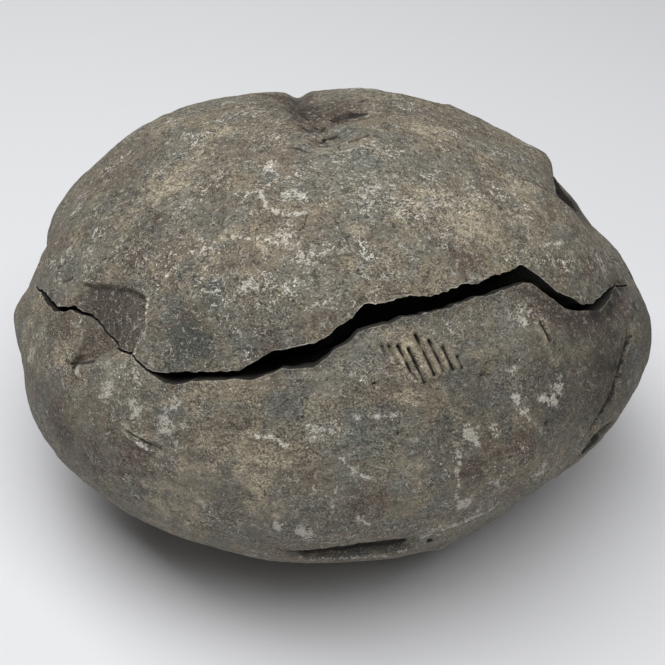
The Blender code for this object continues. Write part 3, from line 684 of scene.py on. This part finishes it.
def crack_relief(points, normals):
    """Height of the short cracks, chips and holes, in mm."""
    height = carve(points, normals, CRACKS)
    for bearing, rise, radius in HOLES:
        height -= HOLE_DEPTH * radius * hump(from_spot(points, bearing, rise), radius)
    return height


def rough(points, scales, seed):
    """Uneven ground at several wavelengths, in mm."""
    height = np.zeros(len(points))
    for wavelength, tall in scales:
        shift = Vector((seed, 2.7 * seed, wavelength))
        height += [tall * noise.noise(Vector(point) / wavelength + shift) for point in points]
    return height


def lip_wear(bearing, rise, edge):
    """How far the skin is worn back near the break, in mm."""
    gone = around(bearing, LIP_WEAR, 1)
    reach = around(bearing, LIP_WEAR, 2)
    distance = np.radians(np.abs(rise - edge)) * MEAN_HEIGHT
    return gone * np.exp(-distance / reach)


def outer(bearing, rise):
    """Points of the finished skin, and the heights in mm of what is carved in it and of the small
    part of that."""
    points = skin(bearing, rise)
    normals = outward(bearing, rise)
    small = rib_relief(points, normals) + crack_relief(points, normals)
    carved = relief(points, normals) + small
    height = carved + rough(points, UNEVENNESS, GROUND_SEED)
    height += rough(points, FINE_GROUND, FINE_GROUND_SEED)
    height -= lip_wear(bearing, rise, around(bearing, CAP_EDGE))
    points = points + height[:, None] * normals
    points[:, 2] = np.maximum(points[:, 2], -REST_DEPTH)
    return points, carved, small


def jags(bearing, seed):
    """Small jagged ups and downs of an edge, in degrees of rise."""
    total = np.zeros(len(bearing))
    for wavelength, tall in JAGS:
        turns = direction(bearing, 0 * bearing) * (180 / math.pi / wavelength) + seed
        total += [2 * tall * noise.noise(Vector(turn)) for turn in turns]
    return total


def edge_of(bearing, cap):
    """Rise of one piece's edge."""
    edge = around(bearing, CAP_EDGE) + jags(bearing, EDGE_SEED)
    if cap:
        return edge
    tight = edge - np.degrees(HAIRLINE / EDGE_RADIUS) - around(bearing, PARTING)
    lip = around(bearing, BOWL_LIP) + jags(bearing, LIP_SEED)
    first, last = BOWL_LIP[0][0], BOWL_LIP[-1][0]
    crumbled = (bearing - first) % 360 < last - first
    return np.where(crumbled, np.minimum(lip, tight), tight)


def face_floor(points):
    return FLOOR_HEIGHT - FLOOR_SLOPE * points[:, 1]


def break_face(bearing, inwards, cap):
    """A face of the break, from the edge (inwards 0) to its middle (inwards 1)."""
    rim = outer(bearing, edge_of(bearing, cap))[0]
    flat = rim[:, :2] * (1 - inwards)[:, None]
    depth = np.linalg.norm(rim[:, :2], axis=1) * inwards
    ground = np.column_stack([flat, np.zeros(len(flat))])
    grit = rough(ground, FACE_UNEVENNESS + FACE_GRIT, FACE_SEED)
    grit *= np.clip(depth / FACE_START, 0, 1)
    bank = (rim[:, 2] - face_floor(rim)) * hump(depth, BANK_WIDTH)
    half_gap = (0.5 if cap else -0.5) * INNER_GAP * np.clip(depth / GAP_START, 0, 1)
    return np.column_stack([flat, face_floor(flat) + bank + grit + half_gap])


def where(spots, rows, cap):
    """Bearing and rise on one piece of a unit sphere's points, whether each is on the skin, and how
    far it lies inwards on the face of the break. The sphere's lower rows make the cap's face."""
    skin_rows, face_rows = rows
    turn = np.degrees(np.arctan2(spots[:, 1], spots[:, 0]))
    bearing = turn - 90 - FRONT_CROWDING * np.degrees(np.sin(np.radians(turn)))
    polar = np.arccos(np.clip(spots[:, 2] if cap else -spots[:, 2], -1, 1)) / math.pi
    row = np.round(polar * (skin_rows + face_rows), 4)
    edge = edge_of(bearing, cap)
    share = 1 - (1 - np.clip(row / skin_rows, 0, 1)) ** EDGE_CROWDING
    if cap:
        rise = 90 - (90 - edge) * share
    else:
        rise = -90 + (90 + edge) * share**KEEL_THINNING
    inwards = np.clip((row - skin_rows) / face_rows, 0, 1) ** FACE_THINNING
    return bearing, rise, row <= skin_rows, inwards


def fine_spots(points, normals, cap, level):
    """Which points lie where the mesh is split at least this many times."""
    lines = [row[2:] for row in FINE_LINES if row[0] == cap and row[1] >= level]
    if level == 1:
        lines += [(width + CRACK_REACH, line) for width, _, line in CRACKS]
    found = np.zeros(len(points), bool)
    for reach, line in lines:
        near, distance, _, _ = along(points, normals, line, reach)
        found[near] |= distance < reach
    for bearing, rise, radius in HOLES:
        found |= from_spot(points, bearing, rise) < radius + CRACK_REACH
    return found


def split_fine(sphere, rows, cap):
    """Splits the sphere's faces where small features lie."""
    for level in (1, 2):
        sphere.verts.index_update()
        spots = np.array([vert.co for vert in sphere.verts])
        bearing, rise, on_skin, _ = where(spots, rows, cap)
        near = on_skin & fine_spots(skin(bearing, rise), outward(bearing, rise), cap, level)
        faces = [face for face in sphere.faces if any(near[vert.index] for vert in face.verts)]
        faces = [face for face in faces if all(on_skin[vert.index] for vert in face.verts)]
        sphere.edges.index_update()
        edges = {edge for face in faces for edge in face.edges}
        edges = sorted(edges, key=lambda edge: edge.index)
        bmesh.ops.subdivide_edges(sphere, edges=edges, cuts=1, use_grid_fill=True)


def stain(points, normals, kind):
    """How strongly one kind of colour lies on each point, from 0 to 1."""
    total = np.zeros(len(points))
    for bearing, rise, radius, strength in SPOTS[kind]:
        total = np.maximum(total, strength * hump(from_spot(points, bearing, rise), radius))
    for width, strength, line in STROKES.get(kind, ()):
        near, distance, _, _ = along(points, normals, line, HUMP_SPAN * width)
        total[near] = np.maximum(total[near], strength * hump(distance, width))
    return total


def enclosed(bearing, rise, outline):
    """Which places lie inside an outline."""
    inside = np.zeros(len(bearing), bool)
    for (bearing_1, rise_1), (bearing_2, rise_2) in zip(outline, outline[1:] + outline[:1]):
        crosses = (rise_1 > rise) != (rise_2 > rise)
        slope = (bearing_2 - bearing_1) / (rise_2 - rise_1 or 1)
        inside ^= crosses & (bearing < bearing_1 + (rise - rise_1) * slope)
    return inside


def scarred(points, normals, bearing, rise, cap):
    """Where the skin has flaked off, from 0 to 1."""
    turned = (bearing + 180) % 360 - 180
    total = np.zeros(len(points))
    for on_cap, outline in SCARS:
        if on_cap == cap:
            border = 2 * SCAR_BORDER
            near, distance, _, _ = along(points, normals, outline + outline[:1], border)
            depth = np.full(len(points), border)
            depth[near] = np.minimum(distance, border)
            side = np.where(enclosed(turned, rise, outline), 0.5, -0.5)
            total = np.maximum(total, np.clip(0.5 + side * depth / SCAR_BORDER, 0, 1))
    return total


def put_attribute(mesh, name, values):
    layer = mesh.attributes.new(name, "FLOAT", "POINT")
    layer.data.foreach_set("value", np.clip(values, 0, 1).astype(np.float32))


def mark(mesh, bearing, rise, on_skin, carved, small, cap):
    """Writes on a mesh where each kind of colour, wear, painted shade and painted highlight lies.
    """
    plain = skin(bearing, rise)
    normals = outward(bearing, rise)
    for kind in SPOTS:
        put_attribute(mesh, kind, np.where(on_skin, stain(plain, normals, kind), 0))
    scar = np.where(on_skin, scarred(plain, normals, bearing, rise, cap), 0)
    put_attribute(mesh, "scar", scar)
    # Painted shade in the hollows: darker the deeper they are cut, and none on a scar's face
    hollow_shade = np.zeros(len(scar))
    broad = -carved / HOLLOW_DEPTH * (1 - scar[on_skin])
    hollow_shade[on_skin] = np.maximum(broad, -small / SMALL_HOLLOW_DEPTH)
    put_attribute(mesh, "hollow_shade", hollow_shade)
    put_attribute(mesh, "fresh", (~on_skin).astype(float))
    from_edge = np.radians(np.abs(rise - edge_of(bearing, cap))) * np.linalg.norm(plain, axis=1)
    put_attribute(mesh, "lip", np.where(on_skin, np.exp(-from_edge / LIP_WIDTH), FACE_LIP))


def make_half(name, rows, cap, material):
    """One fine half, with the values on its points that its material reads."""
    sphere = bmesh.new()
    bmesh.ops.create_uvsphere(sphere, u_segments=COLUMNS, v_segments=sum(rows), radius=1)
    split_fine(sphere, rows, cap)
    bmesh.ops.triangulate(sphere, faces=[face for face in sphere.faces if len(face.verts) > 4])
    spots = np.array([vert.co for vert in sphere.verts])
    mesh = bpy.data.meshes.new(name)
    sphere.to_mesh(mesh)
    sphere.free()

    bearing, rise, on_skin, inwards = where(spots, rows, cap)
    points = np.empty_like(spots)
    points[on_skin], carved, small = outer(bearing[on_skin], rise[on_skin])
    points[~on_skin] = break_face(bearing[~on_skin], inwards[~on_skin], cap)
    points[:, 2] += REST_DEPTH
    mesh.vertices.foreach_set("co", (points * MM).ravel())
    mesh.update()
    mesh.shade_smooth()
    mesh.materials.append(material)
    mark(mesh, bearing, rise, on_skin, carved, small, cap)
    piece = bpy.data.objects.new(name, mesh)
    bpy.context.scene.collection.objects.link(piece)
    return piece


class Painter:
    """Makes a material's nodes and joins them."""

    def __init__(self, name, seed=0.0):
        self.seed = seed
        self.noises = {}
        self.material = bpy.data.materials.new(name)
        self.material.use_nodes = True
        self.tree = self.material.node_tree
        self.shader = self.tree.nodes["Principled BSDF"]
        spot = self.node("TexCoord", {}, "Object")
        self.place = self.vector_maths("MULTIPLY", spot, (1 / MM, 1 / MM, 1 / MM))

    def feed(self, node, inputs):
        """Sets a node's inputs to values or to other nodes' outputs."""
        for key, value in dict(inputs).items():
            if isinstance(value, bpy.types.NodeSocket):
                self.tree.links.new(value, node.inputs[key])
            else:
                node.inputs[key].default_value = value

    def node(self, kind, inputs, output=0, **settings):
        """Makes a node and gives back one of its outputs."""
        node = self.tree.nodes.new("ShaderNode" + kind)
        for setting, value in settings.items():
            setattr(node, setting, value)
        self.feed(node, inputs)
        return node.outputs[output]

    def maths(self, operation, *values):
        return self.node("Math", enumerate(values), operation=operation)

    def vector_maths(self, operation, *values):
        return self.node("VectorMath", enumerate(values), operation=operation)

    def attribute(self, name):
        return self.node("Attribute", {}, "Fac", attribute_name=name)

    def level(self, value, low, high, to_low=0.0, to_high=1.0):
        """A smooth step from to_low, where the value is low, to to_high, where it is high."""
        inputs = enumerate((value, low, high, to_low, to_high))
        return self.node("MapRange", inputs, interpolation_type="SMOOTHSTEP")

    def mix(self, factor, first, second):
        """The second colour laid over the first as strongly as the factor says."""
        first, second = ((*c, 1) if isinstance(c, tuple) else c for c in (first, second))
        return self.node("Mix", {0: factor, 6: first, 7: second}, 2, data_type="RGBA")

    def shade(self, colour, value):
        """The colour made darker or lighter by a value round 1."""
        return self.node("VectorMath", {0: colour, "Scale": value}, operation="SCALE")

    def shifted(self, number):
        """The place in mm, moved off by a pattern's number."""
        shift = tuple(step * (self.seed + number) for step in PATTERN_STEP)
        return self.vector_maths("ADD", self.place, shift)

    def noise(self, pattern, times=1.0):
        """A pattern's cloudy values round 0.5, with its lumps made larger a number of times."""
        if pattern not in self.noises:
            number, size, detail, roughness, twist, stretch, _, _ = PATTERNS[pattern]
            place = self.vector_maths("MULTIPLY", self.shifted(number), (1 / stretch, 1, 1))
            inputs = {"Vector": place, "Scale": 1 / (size * times), "Detail": detail}
            inputs.update({"Roughness": roughness, "Distortion": twist})
            self.noises[pattern] = self.node("TexNoise", inputs, "Fac")
        return self.noises[pattern]

    def patches(self, pattern, to_low=0.0, to_high=1.0):
        """A value that goes from to_low to to_high where a pattern comes in."""
        return self.level(self.noise(pattern), *PATTERNS[pattern][-2:], to_low, to_high)

    def gate(self, pattern, amount, pull, to_high=1.0, times=1.0):
        """A pattern's patches, wider the nearer an amount is to 1."""
        raised = self.maths("MULTIPLY_ADD", amount, pull, self.noise(pattern, times))
        return self.level(raised, *PATTERNS[pattern][-2:], 0.0, to_high)

    def threads(self, pattern):
        """Thin wandering lines, where a soft noise crosses its middle value."""
        _, size, *_, fading, full = PATTERNS[pattern]
        away = self.maths("ABSOLUTE", self.maths("SUBTRACT", self.noise(pattern), 0.5))
        return self.level(away, fading / size * NOISE_SLOPE, full / size * NOISE_SLOPE)

    def scratches(self, kind, amount):
        """Threads of one kind, in patches that are wider the nearer an amount is to 1."""
        gate = self.gate(kind + "_gate", amount, PULLS["scratches"])
        return self.maths("MULTIPLY", self.threads(kind + "_threads"), gate)

    def stained(self, kind):
        """Where a kind of stain lies, with its soft border broken up by noise."""
        amount = self.attribute(kind)
        ragged = self.maths("MULTIPLY_ADD", self.noise(kind), 2 * RAGGEDNESS, -RAGGEDNESS)
        held = self.maths("MULTIPLY", ragged, self.level(amount, *FADES["stain"]))
        return self.level(self.maths("ADD", amount, held), *PATTERNS[kind][-2:])

    def dots(self, number, spacing, radius, share):
        """Round dots on a share of the places of a scatter."""
        inputs = {"Vector": self.shifted(number), "Scale": 1 / spacing}
        distance = self.node("TexVoronoi", inputs, "Distance")
        dot = self.level(distance, radius / spacing, SPECK_CORE * radius / spacing)
        chance = self.node("SeparateColor", {0: distance.node.outputs["Color"]})
        return self.maths("MULTIPLY", dot, self.maths("LESS_THAN", chance, share))

    def finish(self, colour, roughness, height):
        """Joins the colour, the roughness and the height in mm to the shader."""
        normal = self.node("Bump", {"Distance": MM, "Height": height}, "Normal")
        self.feed(self.shader, {"Base Color": colour, "Roughness": roughness, "Normal": normal})
        return self.material


def paint_ground(paint):
    """Drifting greys and browns, with the stains over them."""
    colour = paint.mix(paint.patches("ground"), TONES["warm"], TONES["cool"])
    for tone, most in DRIFTS:
        colour = paint.mix(paint.patches(tone, 0.0, most), colour, TONES[tone])
    for kind, tone in STAINS:
        colour = paint.mix(paint.stained(kind), colour, TONES[tone])
    return colour


def paint_weathering_and_shade(paint, colour, scar, dull, lightness, grainy):
    """Ground, flaked faces, dull spots (some painted shade), mottling, uneven grain and streaks."""
    colour = paint.mix(paint.maths("MULTIPLY", scar, COVERS["scar"]), colour, TONES["scar"])
    colour = paint.shade(colour, paint.maths("MULTIPLY_ADD", dull, -DULLING, lightness))
    colour = paint.shade(colour, paint.patches("mottle", 1 - MOTTLING, 1 + MOTTLING))
    strength = paint.patches("coarseness", *(share * grainy for share in GRAIN_SHARES))
    darkest = paint.maths("SUBTRACT", 1, strength)
    lightest = paint.maths("ADD", 1, strength)
    colour = paint.shade(colour, paint.patches("grain", darkest, lightest))
    return paint.shade(colour, paint.patches("streaks", 1 - STREAKING, 1 + STREAKING))


def pale_flecks(paint, smooth, scratched, crust_size):
    """Scratches, grit and crusts: thick in some clouds and rare elsewhere, and few where smooth."""
    pale = paint.attribute("pale")
    cloud = paint.patches("cloud", 0, scratched)
    cloud = paint.maths("MULTIPLY", cloud, paint.level(smooth, *FADES["smooth"], 1, 0))
    cloud = paint.maths("MAXIMUM", cloud, pale)
    strokes = paint.maths("MAXIMUM", paint.scratches("long", cloud), paint.scratches("fine", cloud))
    outside, inside = STROKE_COVERS
    cover = paint.level(cloud, *FADES["cloud"], outside * scratched, inside)
    strokes = paint.maths("MULTIPLY", strokes, cover)
    cover = paint.level(smooth, *FADES["smooth_grit"], 1, GRIT_LEFT)
    grit = paint.gate("grit", cloud, PULLS["grit"], cover)
    cover = paint.level(pale, *FADES["crust"], 0, COVERS["crust"])
    crust = paint.gate("crust", pale, PULLS["crust"], times=crust_size)
    crust = paint.maths("MULTIPLY", crust, cover)
    return paint.maths("MAXIMUM", paint.maths("MAXIMUM", strokes, grit), crust)


def grime_and_shade(paint, specks):
    """Dark specks of dirt, dark stains (some painted shade) and painted shade in hollows, from 0 to
    1.
    """
    dirt_and_shade = paint.maths("MULTIPLY", specks, COVERS["specks"])
    dirt_and_shade = paint.maths("MAXIMUM", dirt_and_shade, paint.stained("dark"))
    hollow_shade = paint.level(paint.attribute("hollow_shade"), *FADES["hollow_shade"], 0, COVERS["hollow_shade"])
    return paint.maths("MAXIMUM", dirt_and_shade, hollow_shade)


def paint_break(paint, colour, fresh, pale_edge_wear_and_highlight):
    """The break's faces in painted shade, and its pale edge line of wear and painted highlight."""
    colour = paint.mix(fresh, colour, paint.shade(TONES["break"], paint.noise("mottle")))
    lip = paint.level(paint.attribute("lip"), *FADES["lip"], 0, pale_edge_wear_and_highlight)
    lip = paint.maths("MULTIPLY", lip, paint.patches("edge_wear_and_highlight", LEAST_EDGE_WEAR_AND_HIGHLIGHT, 1))
    lip = paint.maths("MULTIPLY", lip, paint.maths("SUBTRACT", 1, fresh))
    return paint.mix(lip, colour, TONES["pale"])


def make_stone(name, seed, lightness, scratched, grainy, crust_size, pale_edge_wear_and_highlight):
    """Weathered mudstone, which reads where its marks lie from the values on its mesh."""
    paint = Painter(name, seed)
    scar = paint.attribute("scar")
    dull = paint.attribute("dull")
    smooth = paint.maths("MAXIMUM", dull, scar)
    fresh = paint.level(paint.attribute("fresh"), *FADES["fresh"])
    flecks = pale_flecks(paint, smooth, scratched, crust_size)
    # Dark thin scratches: partly dark marks, partly painted fine shade; also cut as shallow grooves
    dark_scratches_and_shade = paint.scratches("dark_scratches_and_shade", DARK_SCRATCH_AND_SHADE_SPREAD)
    specks = paint.dots(*SPECKS)

    colour = paint_weathering_and_shade(paint, paint_ground(paint), scar, dull, lightness, grainy)
    colour = paint.mix(flecks, colour, TONES["pale"])
    colour = paint.shade(colour, paint.level(dark_scratches_and_shade, 0, 1, 1, 1 - DARK_SCRATCH_AND_SHADE_DARKNESS * scratched))
    colour = paint.mix(grime_and_shade(paint, specks), colour, TONES["grime_and_shade"])
    colour = paint_break(paint, colour, fresh, pale_edge_wear_and_highlight)

    mottle = paint.noise("mottle")
    matt = paint.level(mottle, *FADES["shine"], *SHINE_ROUGHNESS)
    matt = paint.maths("ADD", matt, paint.maths("MULTIPLY", fresh, BREAK_ROUGHNESS))
    height = 0.0
    for value, lift in zip((mottle, paint.noise("grain"), flecks, dark_scratches_and_shade, specks), LIFTS):
        height = paint.maths("MULTIPLY_ADD", value, lift, height)
    return paint.finish(colour, matt, height)


def make_floor():
    bpy.ops.mesh.primitive_plane_add(size=FLOOR_SIZE)
    floor = bpy.context.object
    floor.name = "floor"
    paint = Painter("floor_cloth")
    paint.feed(paint.shader, {"Base Color": (*FLOOR_COLOUR, 1), "Roughness": FLOOR_ROUGHNESS})
    floor.data.materials.append(paint.material)


def place(name, data, spot, aim):
    """Puts a lamp or a camera in the scene, turned to what it aims at."""
    thing = bpy.data.objects.new(name, data)
    thing.location = spot
    thing.rotation_euler = (Vector(aim) - thing.location).to_track_quat("-Z", "Y").to_euler()
    bpy.context.scene.collection.objects.link(thing)
    return thing


def make_lights():
    world = bpy.data.worlds.new("studio")
    bpy.context.scene.world = world
    world.use_nodes = True
    sky = world.node_tree.nodes["Background"]
    sky.inputs["Color"].default_value = (*SKY_COLOUR, 1)
    sky.inputs["Strength"].default_value = SKY_STRENGTH
    for name, spot, size, power in LAMPS:
        light = bpy.data.lights.new(name, "AREA")
        light.shape = "RECTANGLE"
        light.size, light.size_y = size
        light.energy = power
        place(name, light, spot, LIGHT_AIM)
    bpy.context.scene.view_settings.view_transform = "Standard"


def make_camera():
    elevation = math.radians(CAMERA_ELEVATION)
    aim = Vector(CAMERA_AIM) * MM
    back = Vector((0, -math.cos(elevation), math.sin(elevation)))
    lens = bpy.data.cameras.new("camera")
    lens.sensor_width = SENSOR_WIDTH
    lens.lens = SENSOR_WIDTH * FOCAL_SHARE
    camera = place("camera", lens, aim + back * CAMERA_DISTANCE * MM, aim)
    bpy.context.scene.camera = camera


def main():
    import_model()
    make_camera()
    make_lights()
    make_floor()
    for node, rows, cap, slot, stone in HALVES:
        piece = make_half(node + "_fine", rows, cap, make_stone(slot + "_fine", *stone))
        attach(piece, "root")
        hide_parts(node)


main()
